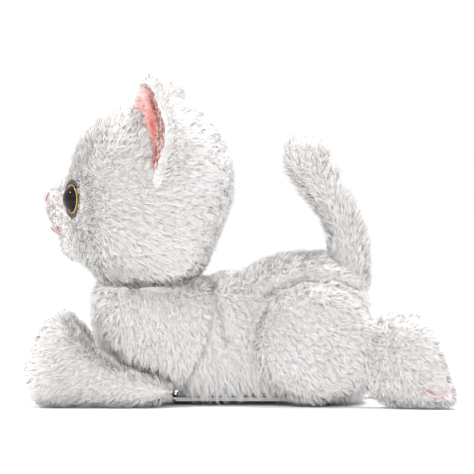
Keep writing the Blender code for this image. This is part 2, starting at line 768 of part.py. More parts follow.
def build_electrics():
    for number, x in enumerate(CELL_X):
        sign = 1 if number % 2 else -1
        low = -29.2 if sign > 0 else -27.6
        place = Matrix.Translation((x, 0, CELL_Z)) @ frame_at((0, 0, 0), "Y")
        body = [(CELL_RADIUS, low), (CELL_RADIUS, low + 48.9)]
        nub = [(2.7, low + 48.9), (2.7, low + 50.5)]
        if sign < 0:
            place = place @ Matrix.Scale(-1, 4, (0, 0, 1)) @ Matrix.Translation((0, 0, 6))
        cell = turned("cell_%d" % (number + 1), body + nub, 16, place)
        finish(cell, (0.1, 0.3, 0.5), 0.4, 0.3)
    for name, face, step in (("contact_front", -37.4, 1), ("contact_rear", 27.4, -1)):
        contact = box(name, (-23, 23), sorted((face, face + step * 0.8)), (8, 21.5))
        for x in CELL_X:
            profile = [(radius, face + step * reach) for radius, reach in ((4, 0.4), (3.4, 2.6), (2.6, 3.8))]
            join(contact, turned("spring", profile[::step], 10, frame_at((x, 0, CELL_Z), "Y")))
        finish(contact, METAL, 0.3, 0.9)

    board = box("circuit_board", (22.6, 24.2), (-24, 22), (29, 68))
    finish(board, (0.05, 0.3, 0.14), 0.5)
    finish(box("processor_chip", (19.8, 22.3), (-8, 6), (42, 56)), DARK, 0.5)
    finish(box("wire_socket", (16.6, 22.3), (12, 18), (50, 64)), (0.85, 0.84, 0.78), 0.5)
    cone = [(13, 8.3), (13, 11), (9, 14.5), (9, 20), (6, 20.5)]
    finish(turned("speaker", cone, 20, frame_at((-11, 45, 0))), DARK, 0.6)
    microphone = cylinder("microphone", (0, -82, 56.6), 3, 2.6, 14)
    finish(microphone, METAL, 0.4, 0.8)
    profile = [(2.5, 69), (2.5, 84), (9, 84), (9, 89.5)]
    finish(turned("back_button", profile, 16, frame_at((0, 0, 0))), GREY_PLASTIC)


def main():
    clear_scene()
    build_torso()
    build_front_legs()
    build_hind_legs()
    build_tail()
    build_head()
    build_drive_train()
    build_chassis()
    build_belly()
    build_electrics()


main()
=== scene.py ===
"""Looks of the plush pet: stuffed skins, fur, eyes, stitches and the finishes of its mechanism.

Metres, +Z up, the pet faces -Y and +X is its left side. Each soft CAD node gets a stuffed
skin a little inside its outline, and combed fur that reaches the outline.
"""

import json
import math

import bpy
import numpy as np
from mathutils import Matrix, Vector
from mathutils.bvhtree import BVHTree
from mathutils.kdtree import KDTree


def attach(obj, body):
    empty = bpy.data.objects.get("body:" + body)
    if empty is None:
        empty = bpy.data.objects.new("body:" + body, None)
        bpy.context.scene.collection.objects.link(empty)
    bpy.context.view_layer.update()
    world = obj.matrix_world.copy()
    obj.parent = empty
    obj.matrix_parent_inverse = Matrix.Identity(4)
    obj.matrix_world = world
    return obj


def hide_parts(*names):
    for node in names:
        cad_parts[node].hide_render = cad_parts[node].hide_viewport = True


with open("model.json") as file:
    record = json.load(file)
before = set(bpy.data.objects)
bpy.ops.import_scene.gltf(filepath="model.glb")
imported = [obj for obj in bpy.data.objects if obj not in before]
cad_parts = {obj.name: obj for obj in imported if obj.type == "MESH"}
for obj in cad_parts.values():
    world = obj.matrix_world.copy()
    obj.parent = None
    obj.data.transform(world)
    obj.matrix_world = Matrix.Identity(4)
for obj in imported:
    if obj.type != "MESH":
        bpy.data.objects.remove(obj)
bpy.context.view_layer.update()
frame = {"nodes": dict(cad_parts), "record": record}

MM = 0.001
NECK = Vector((0, -0.062, 0))
HEAD_TURN = math.radians(-4)
EYE_CENTRE = Vector((0.033, -0.116, 0.1446))
EYE_TURN = math.radians(29)
EYE_CLEARANCE = 0.0128
MOST_STRANDS = 90000
MOST_STRANDS_BIG = 120000
PLUSH_NODES = [
    "torso_plush", "head_plush", "muzzle_plush", "ear_left", "ear_right", "ear_lining_left",
    "ear_lining_right", "front_leg_left", "front_leg_right", "hind_leg_left", "hind_leg_right",
    "tail_plush",
]


# ---------------------------------------------------------------- arrays and meshes


def unit(v):
    return v / np.maximum(np.linalg.norm(v, axis=-1, keepdims=True), 1e-9)


def smoothstep(x, low, high):
    t = np.clip((x - low) / (high - low), 0, 1)
    return t * t * (3 - 2 * t)


def cad_arrays(node):
    mesh = frame["nodes"][node].data
    mesh.calc_loop_triangles()
    points = np.empty(len(mesh.vertices) * 3, np.float32)
    mesh.vertices.foreach_get("co", points)
    faces = np.empty(len(mesh.loop_triangles) * 3, np.int32)
    mesh.loop_triangles.foreach_get("vertices", faces)
    return points.reshape(-1, 3).astype(float), faces.reshape(-1, 3)


def box_arrays(low, high):
    points = np.array([[(low, high)[i >> k & 1][k] for k in range(3)] for i in range(8)], float) * MM
    faces = [(0, 2, 1), (1, 2, 3), (4, 5, 6), (5, 7, 6), (0, 1, 4), (1, 5, 4), (2, 6, 3), (3, 6, 7),
             (0, 4, 2), (2, 4, 6), (1, 3, 5), (3, 7, 5)]
    return points, np.array(faces)


def ball_arrays(centre, semis, count=24, rows=14):
    points = [(0, 0, -1)]
    for r in range(1, rows):
        a = math.pi * r / rows
        for c in range(count):
            b = 2 * math.pi * c / count
            points.append((math.sin(a) * math.cos(b), math.sin(a) * math.sin(b), -math.cos(a)))
    points.append((0, 0, 1))
    last = len(points) - 1
    faces = []
    for c in range(count):
        d = (c + 1) % count
        faces.append((0, 1 + d, 1 + c))
        for r in range(rows - 2):
            a, b = 1 + r * count + c, 1 + r * count + d
            faces += [(a, b, a + count), (b, b + count, a + count)]
        faces.append((1 + (rows - 2) * count + c, 1 + (rows - 2) * count + d, last))
    return (np.array(points) * semis + centre) * MM, np.array(faces)


def new_object(name, points, faces):
    mesh = bpy.data.meshes.new(name)
    mesh.from_pydata([tuple(p) for p in points], [], [tuple(int(i) for i in f) for f in faces])
    mesh.update()
    mesh.shade_smooth()
    obj = bpy.data.objects.new(name, mesh)
    bpy.context.scene.collection.objects.link(obj)
    return obj


def coords(obj, evaluated=False):
    mesh = obj.evaluated_get(bpy.context.evaluated_depsgraph_get()).data if evaluated else obj.data
    co = np.empty(len(mesh.vertices) * 3, np.float32)
    mesh.vertices.foreach_get("co", co)
    return co.reshape(-1, 3).astype(float)


def set_coords(obj, co):
    obj.data.vertices.foreach_set("co", co.astype(np.float32).ravel())
    obj.data.update()


def vertex_normals(obj):
    n = np.empty(len(obj.data.vertices) * 3, np.float32)
    obj.data.vertex_normals.foreach_get("vector", n)
    return n.reshape(-1, 3).astype(float)


def apply_modifiers(obj):
    graph = bpy.context.evaluated_depsgraph_get()
    mesh = bpy.data.meshes.new_from_object(obj.evaluated_get(graph))
    obj.modifiers.clear()
    obj.data = mesh


def drop_faces(obj, doomed):
    """Deletes the faces whose centre satisfies doomed(centre array, normal array)."""
    mesh = obj.data
    centre = np.empty(len(mesh.polygons) * 3, np.float32)
    mesh.polygons.foreach_get("center", centre)
    normal = np.empty(len(mesh.polygons) * 3, np.float32)
    mesh.polygons.foreach_get("normal", normal)
    gone = doomed(centre.reshape(-1, 3), normal.reshape(-1, 3))
    kept = [tuple(p.vertices) for p, g in zip(mesh.polygons, gone) if not g]
    used = sorted({i for f in kept for i in f})
    index = {v: i for i, v in enumerate(used)}
    co = coords(obj)[used]
    new = bpy.data.meshes.new(obj.name)
    new.from_pydata([tuple(p) for p in co], [], [tuple(index[i] for i in f) for f in kept])
    new.update()
    new.shade_smooth()
    obj.data = new


def nearest(tree, points):
    """Distance from each point to the tree's surface. A point right on it counts as far away."""
    return np.array([(tree.find_nearest(Vector(p))[3] or 1.0) for p in points])


def tree_of(nodes):
    points, faces, start = [], [], 0
    for node in nodes:
        p, f = cad_arrays(node)
        points.append(p)
        faces.append(f + start)
        start += len(p)
    points, faces = np.concatenate(points), np.concatenate(faces)
    return BVHTree.FromPolygons([tuple(p) for p in points], [tuple(int(i) for i in f) for f in faces])


# ---------------------------------------------------------------- materials


def shader(name, roughness=0.5, metallic=0.0, **constants):
    mat = bpy.data.materials.new(name)
    mat.use_nodes = True
    nodes = mat.node_tree.nodes
    bsdf = nodes["Principled BSDF"]
    bsdf.inputs["Roughness"].default_value = roughness
    bsdf.inputs["Metallic"].default_value = metallic
    for key, value in constants.items():
        bsdf.inputs[key.replace("_", " ")].default_value = value
    return mat, nodes, mat.node_tree.links, bsdf


def ramp(nodes, stops):
    node = nodes.new("ShaderNodeValToRGB")
    elements = node.color_ramp.elements
    while len(elements) < len(stops):
        elements.new(0.5)
    for element, (at, colour) in zip(elements, stops):
        element.position = at
        element.color = (*colour, 1)
    return node


def fur_material(name, stops, root_shade, sheen=0.25):
    """Colour from the strand's own UV only: u is its tint and v runs from root to tip, darkening towards the
    root as painted shade deep in the pile.
    """
    mat, nodes, links, bsdf = shader(name, 0.75, **{"Sheen_Weight": sheen, "Specular_IOR_Level": 0.25})
    bsdf.inputs["Sheen Roughness"].default_value = 0.5
    uv = nodes.new("ShaderNodeUVMap")
    uv.uv_map = "OFBake"
    split = nodes.new("ShaderNodeSeparateXYZ")
    links.new(uv.outputs["UV"], split.inputs[0])
    tint = ramp(nodes, stops)
    links.new(split.outputs["X"], tint.inputs["Fac"])
    # Painted shade: darker at the root, white at the tip.
    length = ramp(nodes, [(0.0, root_shade), (0.55, (0.96, 0.96, 0.96)), (1.0, (1, 1, 1))])
    links.new(split.outputs["Y"], length.inputs["Fac"])
    mix = nodes.new("ShaderNodeMix")
    mix.data_type, mix.blend_type = "RGBA", "MULTIPLY"
    mix.inputs["Factor"].default_value = 1
    links.new(tint.outputs["Color"], mix.inputs["A"])
    links.new(length.outputs["Color"], mix.inputs["B"])
    links.new(mix.outputs["Result"], bsdf.inputs["Base Color"])
    return mat


def noise_material(name, low, high, scale, roughness, bump=0.2, bump_scale=None, metallic=0.0,
                   distance=0.0004, stretch=(1, 1, 1), **constants):
    """Two colours mixed by noise, with a noise bump: cloth backing, felt, thread, moulded plastic."""
    mat, nodes, links, bsdf = shader(name, roughness, metallic, **constants)
    place = nodes.new("ShaderNodeTexCoord")
    mapping = nodes.new("ShaderNodeMapping")
    mapping.inputs["Scale"].default_value = stretch
    links.new(place.outputs["Object"], mapping.inputs["Vector"])
    noise = nodes.new("ShaderNodeTexNoise")
    noise.inputs["Scale"].default_value = scale
    noise.inputs["Detail"].default_value = 4
    links.new(mapping.outputs["Vector"], noise.inputs["Vector"])
    colour = ramp(nodes, [(0.3, low), (0.7, high)])
    links.new(noise.outputs["Fac"], colour.inputs["Fac"])
    links.new(colour.outputs["Color"], bsdf.inputs["Base Color"])
    fine = nodes.new("ShaderNodeTexNoise")
    fine.inputs["Scale"].default_value = bump_scale or scale * 4
    fine.inputs["Detail"].default_value = 3
    links.new(mapping.outputs["Vector"], fine.inputs["Vector"])
    relief = nodes.new("ShaderNodeBump")
    relief.inputs["Strength"].default_value = bump
    relief.inputs["Distance"].default_value = distance
    links.new(fine.outputs["Fac"], relief.inputs["Height"])
    links.new(relief.outputs["Normal"], bsdf.inputs["Normal"])
    rough = nodes.new("ShaderNodeMapRange")
    rough.inputs["To Min"].default_value = max(roughness - 0.07, 0.02)
    rough.inputs["To Max"].default_value = min(roughness + 0.07, 1)
    links.new(fine.outputs["Fac"], rough.inputs["Value"])
    links.new(rough.outputs["Result"], bsdf.inputs["Roughness"])
    return mat


def board_material():
    """Green solder mask with copper tracks between square pads."""
    mat, nodes, links, bsdf = shader("board_green", 0.4)
    place = nodes.new("ShaderNodeTexCoord")
    brick = nodes.new("ShaderNodeTexBrick")
    brick.inputs["Scale"].default_value = 180
    brick.inputs["Color1"].default_value = (0.01, 0.12, 0.04, 1)
    brick.inputs["Color2"].default_value = (0.015, 0.17, 0.06, 1)
    brick.inputs["Mortar"].default_value = (0.1, 0.3, 0.1, 1)
    brick.inputs["Mortar Size"].default_value = 0.03
    links.new(place.outputs["Object"], brick.inputs["Vector"])
    links.new(brick.outputs["Color"], bsdf.inputs["Base Color"])
    relief = nodes.new("ShaderNodeBump")
    relief.inputs["Distance"].default_value = 0.0001
    links.new(brick.outputs["Fac"], relief.inputs["Height"])
    links.new(relief.outputs["Normal"], bsdf.inputs["Normal"])
    return mat


# Tints of the white pile by u, from warm beige to white. Strands vary at random, and along the seams they are
# pushed towards the beige end as painted shade.
WHITE_STOPS = [(0.0, (0.70, 0.61, 0.53)), (0.3, (0.89, 0.86, 0.83)), (0.6, (0.965, 0.96, 0.955)),
               (1.0, (0.985, 0.985, 0.985))]
# Tints of the pink lining by u, from dark red to the white rim; along the crease the pile is pushed towards
# the dark end as painted shade.
PINK_STOPS = [(0.0, (0.62, 0.11, 0.11)), (0.3, (0.85, 0.30, 0.27)), (0.6, (0.93, 0.47, 0.42)),
              (0.8, (0.95, 0.68, 0.64)), (1.0, (0.97, 0.92, 0.91))]
# The root colours are painted shade: each strand darkens from its tip down to its root.
FUR = fur_material("white_fur", WHITE_STOPS, (0.93, 0.915, 0.90))
PINK_FUR = fur_material("pink_fur", PINK_STOPS, (0.85, 0.68, 0.66))
SKIN = noise_material("plush_backing", (0.78, 0.75, 0.73), (0.86, 0.84, 0.83), 260, 0.95, 0.6, 900,
                      distance=0.0006)
PINK_SKIN = noise_material("pink_backing", (0.70, 0.22, 0.19), (0.82, 0.34, 0.30), 260, 0.95, 0.6, 900,
                           distance=0.0006)
FINISHES = {
    "pink_thread": noise_material("pink_thread", (0.62, 0.13, 0.22), (0.78, 0.25, 0.34), 900, 0.6, 0.5, 2600,
                                  distance=0.0003, Sheen_Weight=0.3),
    "mouth_thread": noise_material("mouth_thread", (0.55, 0.25, 0.26), (0.68, 0.35, 0.35), 900, 0.6, 0.5,
                                   2600, distance=0.0003),
    "dark_felt": noise_material("dark_felt", (0.022, 0.018, 0.014), (0.06, 0.05, 0.042), 700, 0.95, 0.8, 2400,
                                distance=0.0004, Sheen_Weight=0.15),
    "black_gloss": noise_material("black_gloss", (0.003, 0.003, 0.004), (0.009, 0.006, 0.006), 120, 0.06,
                                  0.0, IOR=1.3),
    "gold_rim": noise_material("gold_rim", (0.40, 0.26, 0.06), (0.66, 0.46, 0.14), 400, 0.3, 0.1,
                               metallic=0.95),
    "grey_plastic": noise_material("grey_plastic", (0.27, 0.28, 0.29), (0.32, 0.33, 0.34), 90, 0.48, 0.15,
                                   1400, distance=0.0001),
    "white_plastic": noise_material("white_plastic", (0.66, 0.66, 0.65), (0.74, 0.74, 0.73), 90, 0.42, 0.12,
                                    1400, distance=0.0001),
    "black_plastic": noise_material("black_plastic", (0.012, 0.012, 0.013), (0.03, 0.03, 0.032), 90, 0.45,
                                    0.15, 1400, distance=0.0001),
    "gear_plastic": noise_material("gear_plastic", (0.72, 0.70, 0.62), (0.80, 0.78, 0.70), 120, 0.38, 0.1,
                                   1000, distance=0.0001),
    "board_green": board_material(),
    "cell_blue": noise_material("cell_blue", (0.02, 0.07, 0.24), (0.03, 0.10, 0.32), 60, 0.3, 0.05, 500,
                                Coat_Weight=0.4),
    "steel": noise_material("steel", (0.45, 0.45, 0.46), (0.60, 0.60, 0.61), 500, 0.3, 0.15, 900,
                            metallic=0.9, stretch=(1, 1, 12), distance=0.0001),
}

for row in frame["record"]["materials"]:
    finish = FINISHES.get(row["slot"])
    for node in row.get("nodes", []):
        if finish and node in frame["nodes"]:
            mesh = frame["nodes"][node].data
            mesh.materials.clear()
            mesh.materials.append(finish)


# ---------------------------------------------------------------- stuffed skins


def inflate(obj, pinned, cap, pressure=4.0, frames=20):
    """Blows the skin up as cloth under pressure. Pinned points stay, and no point moves more than cap."""
    before = coords(obj)
    group = obj.vertex_groups.new(name="pin")
    group.add([int(i) for i in np.flatnonzero(pinned)], 1.0, "REPLACE")
    cloth = obj.modifiers.new("Cloth", "CLOTH")
    cloth.settings.use_pressure = True
    cloth.settings.uniform_pressure_force = pressure
    cloth.settings.effector_weights.gravity = 0
    cloth.settings.vertex_group_mass = "pin"
    cloth.point_cache.frame_start, cloth.point_cache.frame_end = 1, frames
    for number in range(1, frames + 1):
        bpy.context.scene.frame_set(number)
    after = coords(obj, evaluated=True)
    obj.modifiers.clear()
    obj.vertex_groups.clear()
    bpy.context.scene.frame_set(1)
    move = after - before
    size = np.linalg.norm(move, axis=1, keepdims=True)
    set_coords(obj, before + move * np.minimum(1, cap / np.maximum(size, 1e-9)))


def stuffed(name, body, nodes, others, fills=(), voxel=5.0, inset=4.0, openings=None, seams=(), swell=2.0,
            smoothing=4, ease=None):
    """A stuffed skin for CAD nodes: remeshed, drawn in, blown up as cloth, then seamed and subdivided.

    Where it comes close to the other nodes it stays at their contact, elsewhere it lies inset inside.
    """
    points, faces, start = [], [], 0
    for p, f in [cad_arrays(node) for node in nodes] + list(fills):
        points.append(p)
        faces.append(f + start)
        start += len(p)
    obj = new_object(name, np.concatenate(points), np.concatenate(faces))
    remesh = obj.modifiers.new("Remesh", "REMESH")
    remesh.mode, remesh.voxel_size, remesh.use_smooth_shade = "VOXEL", voxel * MM, True
    soften = obj.modifiers.new("Smooth", "SMOOTH")
    soften.factor, soften.iterations = 0.5, smoothing
    apply_modifiers(obj)
    if openings:
        drop_faces(obj, openings)
    tree = tree_of(others)
    clear = nearest(tree, coords(obj))
    depth = (0.6 + (inset - 0.6) * smoothstep(clear, 1.5 * MM, 9 * MM)) * MM
    if ease is not None:
        depth *= ease(coords(obj))
    set_coords(obj, coords(obj) - vertex_normals(obj) * depth[:, None])
    gap = seam_distance(coords(obj), seams)
    inflate(obj, (clear < 3 * MM) | (gap < 4 * MM), swell * MM)
    subdivide = obj.modifiers.new("Subdivide", "SUBSURF")
    subdivide.levels = subdivide.render_levels = 1
    apply_modifiers(obj)
    co, normal = coords(obj), vertex_normals(obj)
    pull = 3.2 * MM * np.exp(-((seam_distance(co, seams) / (2.8 * MM)) ** 2))
    set_coords(obj, co - normal * pull[:, None])
    obj.data.materials.clear()
    obj.data.materials.append(PINK_SKIN if "lining" in name else SKIN)
    obj.data.shade_smooth()
    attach(obj, body)
    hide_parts(*nodes)
    return obj, tree


def seam_distance(co, seams):
    """Distance in metres to the nearest seam. A seam is a line of (y, z) in mm, on both flanks."""
    best = np.full(len(co), 1.0)
    for line in seams:
        knots = np.array(line, float) * MM
        for a, b in zip(knots[:-1], knots[1:]):
            t = np.clip(((co[:, 1:] - a) @ (b - a)) / ((b - a) @ (b - a)), 0, 1)
            off = np.linalg.norm(co[:, 1:] - a - t[:, None] * (b - a), axis=1)
            best = np.minimum(best, np.where(np.abs(co[:, 0]) > 0.02, off, 1.0))
    return best


# ---------------------------------------------------------------- fur


def tint_wave(p, rng):
    """Slow, smooth variation from -1 to 1 over the surface."""
    total = np.zeros(len(p))
    for _ in range(5):
        way = rng.normal(size=3)
        way *= rng.uniform(90, 260) / np.linalg.norm(way)
        total += np.sin(p @ way + rng.uniform(0, 6.28))
    return total / 5


def grow(name, body, skin, tree, flow, seed, density=1.6, length=7.2, width=0.36, tuft=3.6, clump=0.6,
         lift=(58, 32), keep=None, tint=None, wild=0.3, seams=(), material=FUR, slot="white_plush",
         near=(1.0, 7.0), most=MOST_STRANDS, growth=None):
    """Combed pile on a skin: tapered ribbons, gathered in tufts, lying along flow(points, normals)."""
    rng = np.random.default_rng(seed)
    mesh = skin.data
    mesh.calc_loop_triangles()
    tris = np.empty(len(mesh.loop_triangles) * 3, np.int32)
    mesh.loop_triangles.foreach_get("vertices", tris)
    tris = tris.reshape(-1, 3)
    co, vn = coords(skin), vertex_normals(skin)
    clear = nearest(tree, co)
    a, b, c = (co[tris[:, k]] for k in range(3))
    area = np.linalg.norm(np.cross(b - a, c - a), axis=1) / 2
    number = int(area.sum() / MM**2 * density)
    pick = rng.choice(len(tris), number, p=area / area.sum())
    u, v = rng.random(number), rng.random(number)
    flip = u + v > 1
    u[flip], v[flip] = 1 - u[flip], 1 - v[flip]
    weight = np.stack([1 - u - v, u, v], 1)[:, :, None]
    p = (co[tris[pick]] * weight).sum(1)
    n = unit((vn[tris[pick]] * weight).sum(1))
    close = (clear[tris[pick]] * weight[:, :, 0]).sum(1)
    on = close > near[0] * MM
    if keep is not None:
        on &= keep(p, n)
    p, n, close = p[on], n[on], close[on]
    if len(p) > most:
        some = np.sort(rng.choice(len(p), most, replace=False))
        p, n, close = p[some], n[some], close[some]
    count = len(p)

    # Tufts: some roots are the centres, and each strand leans to the nearest one.
    centres = rng.choice(count, max(int(count / density / (tuft * tuft * 0.8)), 2), replace=False)
    kd = KDTree(len(centres))
    for i, k in enumerate(centres):
        kd.insert(Vector(p[k]), i)
    kd.balance()
    mine = np.array([kd.find(Vector(q))[1] for q in p])
    lean = rng.normal(size=(len(centres), 3))[mine]
    stretch = rng.uniform(0.8, 1.2, len(centres))[mine]
    gather = rng.uniform(0.6, 1.0, len(centres))[mine] * clump

    way = flow(p, n) + wild * lean * 0.8 + wild * 0.7 * rng.normal(size=(count, 3))
    way = unit(way - n * (way * n).sum(1)[:, None])
    size = length * MM * stretch * rng.uniform(0.72, 1.12, count)
    size *= 0.35 + 0.65 * smoothstep(close, near[0] * MM, near[1] * MM)
    seam = seam_distance(p, seams)
    size *= 1 - 0.5 * np.exp(-((seam / (2.6 * MM)) ** 2))
    if growth is not None:
        size *= growth(p, n)
    low = np.radians(lift[0] + rng.normal(0, 9, count))[:, None]
    high = np.radians(lift[1] + rng.normal(0, 9, count))[:, None]
    to_centre = p[centres][mine] - p
    half = size[:, None] / 2
    mid = p + half * (way * np.cos(low) + n * np.sin(low)) + to_centre * gather[:, None] * 0.38
    tip = mid + half * (way * np.cos(high) + n * np.sin(high)) + to_centre * gather[:, None] * 0.5
    root = p - n * 0.4 * MM

    along = unit(tip - root)
    side = unit(np.cross(along, n))
    turn = rng.normal(0, 0.45, count)[:, None]
    side = unit(side * np.cos(turn) + np.cross(along, side) * np.sin(turn))
    broad = width * MM * rng.uniform(0.75, 1.25, count)[:, None] / 2
    points = np.stack([root - side * broad, root + side * broad, mid + side * broad * 0.85,
                       mid - side * broad * 0.85, tip], 1)
    points[:, :, 2] = np.maximum(points[:, :, 2], 0.2 * MM)
    points = points.reshape(-1, 3)

    first = np.arange(count) * 5
    order = np.stack([first, first + 1, first + 2, first + 3, first + 3, first + 2, first + 4], 1)
    face_out = np.cross(side, along)
    facing = (face_out * n).sum(1) < 0
    order[facing] = order[facing][:, [3, 2, 1, 0, 6, 5, 4]]
    face_out[facing] *= -1
    fur = bpy.data.meshes.new(name)
    fur.vertices.add(count * 5)
    fur.vertices.foreach_set("co", points.astype(np.float32).ravel())
    fur.loops.add(count * 7)
    fur.loops.foreach_set("vertex_index", order.astype(np.int32).ravel())
    fur.polygons.add(count * 2)
    starts = (np.arange(count)[:, None] * 7 + np.array([0, 4])).ravel()
    fur.polygons.foreach_set("loop_start", starts.astype(np.int32))
    shade = rng.normal(0, 0.16, count) + 0.14 * tint_wave(p, rng) + 0.62
    shade += rng.normal(0, 0.10, len(centres))[mine]
    # Painted shade: strands darken along the seams, where the pile parts into a groove.
    shade -= 0.55 * np.exp(-((seam / (2.0 * MM)) ** 2))
    if tint is not None:
        shade += tint(p, n)
    uv = np.zeros((count * 5, 2))
    uv[:, 0] = np.repeat(np.clip(shade, 0.02, 0.98), 5)
    uv[:, 1] = np.tile([0.02, 0.02, 0.5, 0.5, 0.98], count)
    layer = fur.uv_layers.new(name="OFBake")
    layer.data.foreach_set("uv", uv[order.ravel()].astype(np.float32).ravel())
    fur.update()
    fur.shade_smooth()
    soft = unit(np.repeat(n * 0.82 + face_out * 0.18, 5, axis=0) + 0.10 * rng.normal(size=(count * 5, 3)))
    fur.normals_split_custom_set_from_vertices(soft.tolist())
    fur.materials.append(material)
    obj = bpy.data.objects.new(name, fur)
    bpy.context.scene.collection.objects.link(obj)
    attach(obj, body)
    return obj


# ---------------------------------------------------------------- the pieces


head_turned = Matrix.Translation(NECK) @ Matrix.Rotation(HEAD_TURN, 4, "Z") @ Matrix.Translation(-NECK)
BELLY = dict(x=0.0335, y=(-0.0485, 0.0655))


def belly_open(p, n):
    return (np.abs(p[:, 0]) < 0.0305) & (p[:, 1] > -0.0455) & (p[:, 1] < 0.0625) & (p[:, 2] < 0.016)


def torso_openings(p, n):
    """The holes for the neck post and the belly plate."""
    neck = (np.hypot(p[:, 0], p[:, 1] - NECK.y) < 0.0145) & (p[:, 2] > 0.06) & (p[:, 2] < 0.085)
    return neck | (belly_open(p, n) & (n[:, 2] < 0.3))


def head_openings(p, n):
    """The hole under the head for the neck."""
    return (np.abs(p[:, 0]) < 0.026) & (np.abs(p[:, 1] - NECK.y) < 0.025) & (p[:, 2] < 0.105)


def muzzle_distance(p):
    return np.linalg.norm(p - np.array(head_turned @ Vector((0, -0.132, 0.130))), axis=1)


def muzzle_ease(p):
    """The pile is short on the muzzle and chin, so the skin lies closer to the outline there."""
    return 0.45 + 0.55 * smoothstep(muzzle_distance(p), 0.020, 0.042)


def belly_ease(p):
    """Near the floor the skin lies close to the outline, so that the pile hangs past the belly plate."""
    return 0.25 + 0.75 * smoothstep(p[:, 2], 0.010, 0.028)


TORSO_SEAMS = [
    [(16, 77), (24, 83), (44, 90), (63, 89), (84, 80), (89, 75)],
    [(-22.5, 84), (-22, 61), (-26, 39.5), (-41, 14)],
    [(-20, 86), (-19, 81), (-11, 45.5)],
]


def turned_with_head(arrays):
    points, faces = arrays
    return np.array([head_turned @ Vector(p) for p in points]), faces


def others_than(*own):
    return [n for n in PLUSH_NODES if n not in own]


torso, torso_tree = stuffed(
    "torso_skin", "torso", ["torso_plush"], others_than("torso_plush"),
    fills=[
        box_arrays((-28.5, -45.5, 8), (28.5, 65.5, 75.5)),
        box_arrays((-28.5, -90, 51), (28.5, -40, 75.2)),
        box_arrays((-24, 20, 60), (24, 62, 97.5)),
        box_arrays((-10.5, -10.5, 60), (10.5, 10.5, 91)),
    ],
    openings=torso_openings, seams=TORSO_SEAMS, swell=2.5, ease=belly_ease,
)
head, head_tree = stuffed(
    "head_skin", "head", ["head_plush", "muzzle_plush"],
    others_than("head_plush", "muzzle_plush") + ["eye_backing_left", "eye_backing_right", "nose"],
    fills=[
        turned_with_head(ball_arrays((0, -64, 150), (53, 45, 51))),
        box_arrays((-27, -90, 91), (27, -36, 118)),
        box_arrays((-12, -60, 185), (12, -40, 210.5)),
    ],
    openings=head_openings, swell=2.5, ease=muzzle_ease,
)
skins = {}
for side in ("left", "right"):
    for node, options in (
        (f"front_leg_{side}", dict(voxel=4, swell=1.5, inset=3.4)),
        (f"hind_leg_{side}", dict(voxel=4, swell=1.5, inset=3.2)),
    ):
        skins[node] = stuffed(f"{node}_skin", node, [node], others_than(node), **options)
    for node, inset in ((f"ear_{side}", 1.6), (f"ear_lining_{side}", 0.6)):
        skins[node] = stuffed(f"{node}_skin", "head", [node], others_than(node), voxel=1.8, inset=inset,
                              swell=0.5, smoothing=3)
rod_tree = tree_of(["tail_armature"])
skins["tail"] = stuffed(
    "tail_skin", "tail", ["tail_plush"], others_than("tail_plush"), voxel=4, swell=1.5,
    openings=lambda p, n: nearest(rod_tree, p) < 2.2 * MM,
)


def flow_torso(p, n):
    """Down over the shoulder, back and down over the flank, straight down at the chest and the rump."""
    flank = smoothstep(p[:, 1], -0.030, -0.005)
    way = np.zeros((len(p), 3))
    way[:, 1] = 0.30 + 0.45 * flank
    way[:, 2] = -1.0 + 0.35 * flank
    chest = smoothstep(-p[:, 1], 0.075, 0.1)
    rump = smoothstep(p[:, 1], 0.07, 0.09)
    low = smoothstep(-p[:, 2], -0.035, -0.012)
    way[:, 1] -= 0.3 * chest
    way[:, 2] -= 0.8 * chest + 0.5 * rump + 1.6 * low
    return way


def flank_growth(p, n):
    return 1 + 0.45 * smoothstep(-p[:, 2], -0.024, -0.008)


def flow_head(p, n):
    """Outwards from the nose: back over the crown, and down and back at the cheeks."""
    face = np.array(head_turned @ Vector((0, -0.137, 0.138)))
    way = unit(p - face)
    way[:, 1] += 0.35
    way[:, 2] -= 0.45 * smoothstep(-(p[:, 2] - 0.16), -0.02, 0.04)
    return way


def flow_front(p, n):
    return np.tile([0.0, -1.0, -0.30], (len(p), 1))


def flow_hind(p, n):
    way = np.tile([0.0, 0.75, -0.6], (len(p), 1))
    foot = smoothstep(p[:, 1], 0.085, 0.105)
    way[:, 2] += 0.25 * foot
    return way


TAIL_LINE = np.array([(77, 60), (77, 86), (77, 98), (76.6, 115), (72.4, 129), (66, 141), (59, 150), (52, 160),
                      (47, 170), (44.5, 178), (44.5, 190)]) * MM


def flow_tail(p, n):
    """Along the tail, towards its tip."""
    way = np.zeros((len(p), 3))
    best = np.full(len(p), 1.0)
    for a, b in zip(TAIL_LINE[:-1], TAIL_LINE[1:]):
        t = np.clip(((p[:, 1:] - a) @ (b - a)) / ((b - a) @ (b - a)), 0, 1)
        off = np.linalg.norm(p[:, 1:] - a - t[:, None] * (b - a), axis=1)
        nearer = off < best
        best = np.where(nearer, off, best)
        way[nearer, 1:] = (b - a) / np.linalg.norm(b - a)
    return way


def ear_crease(side):
    """A point on the crease of the ear's lining, and the way across it, outwards."""
    middle = head_turned @ Vector((side * 0.070, -0.058, 0.187))
    across = head_turned.to_3x3() @ Vector((side * 0.7, 0.7, 0))
    return np.array(middle), np.array(across.normalized())


def flow_ear(side):
    middle = ear_crease(side)[0]

    def flow(p, n):
        return np.array((0, 0.55, 0.8)) + 0.3 * unit(p - middle)
    return flow


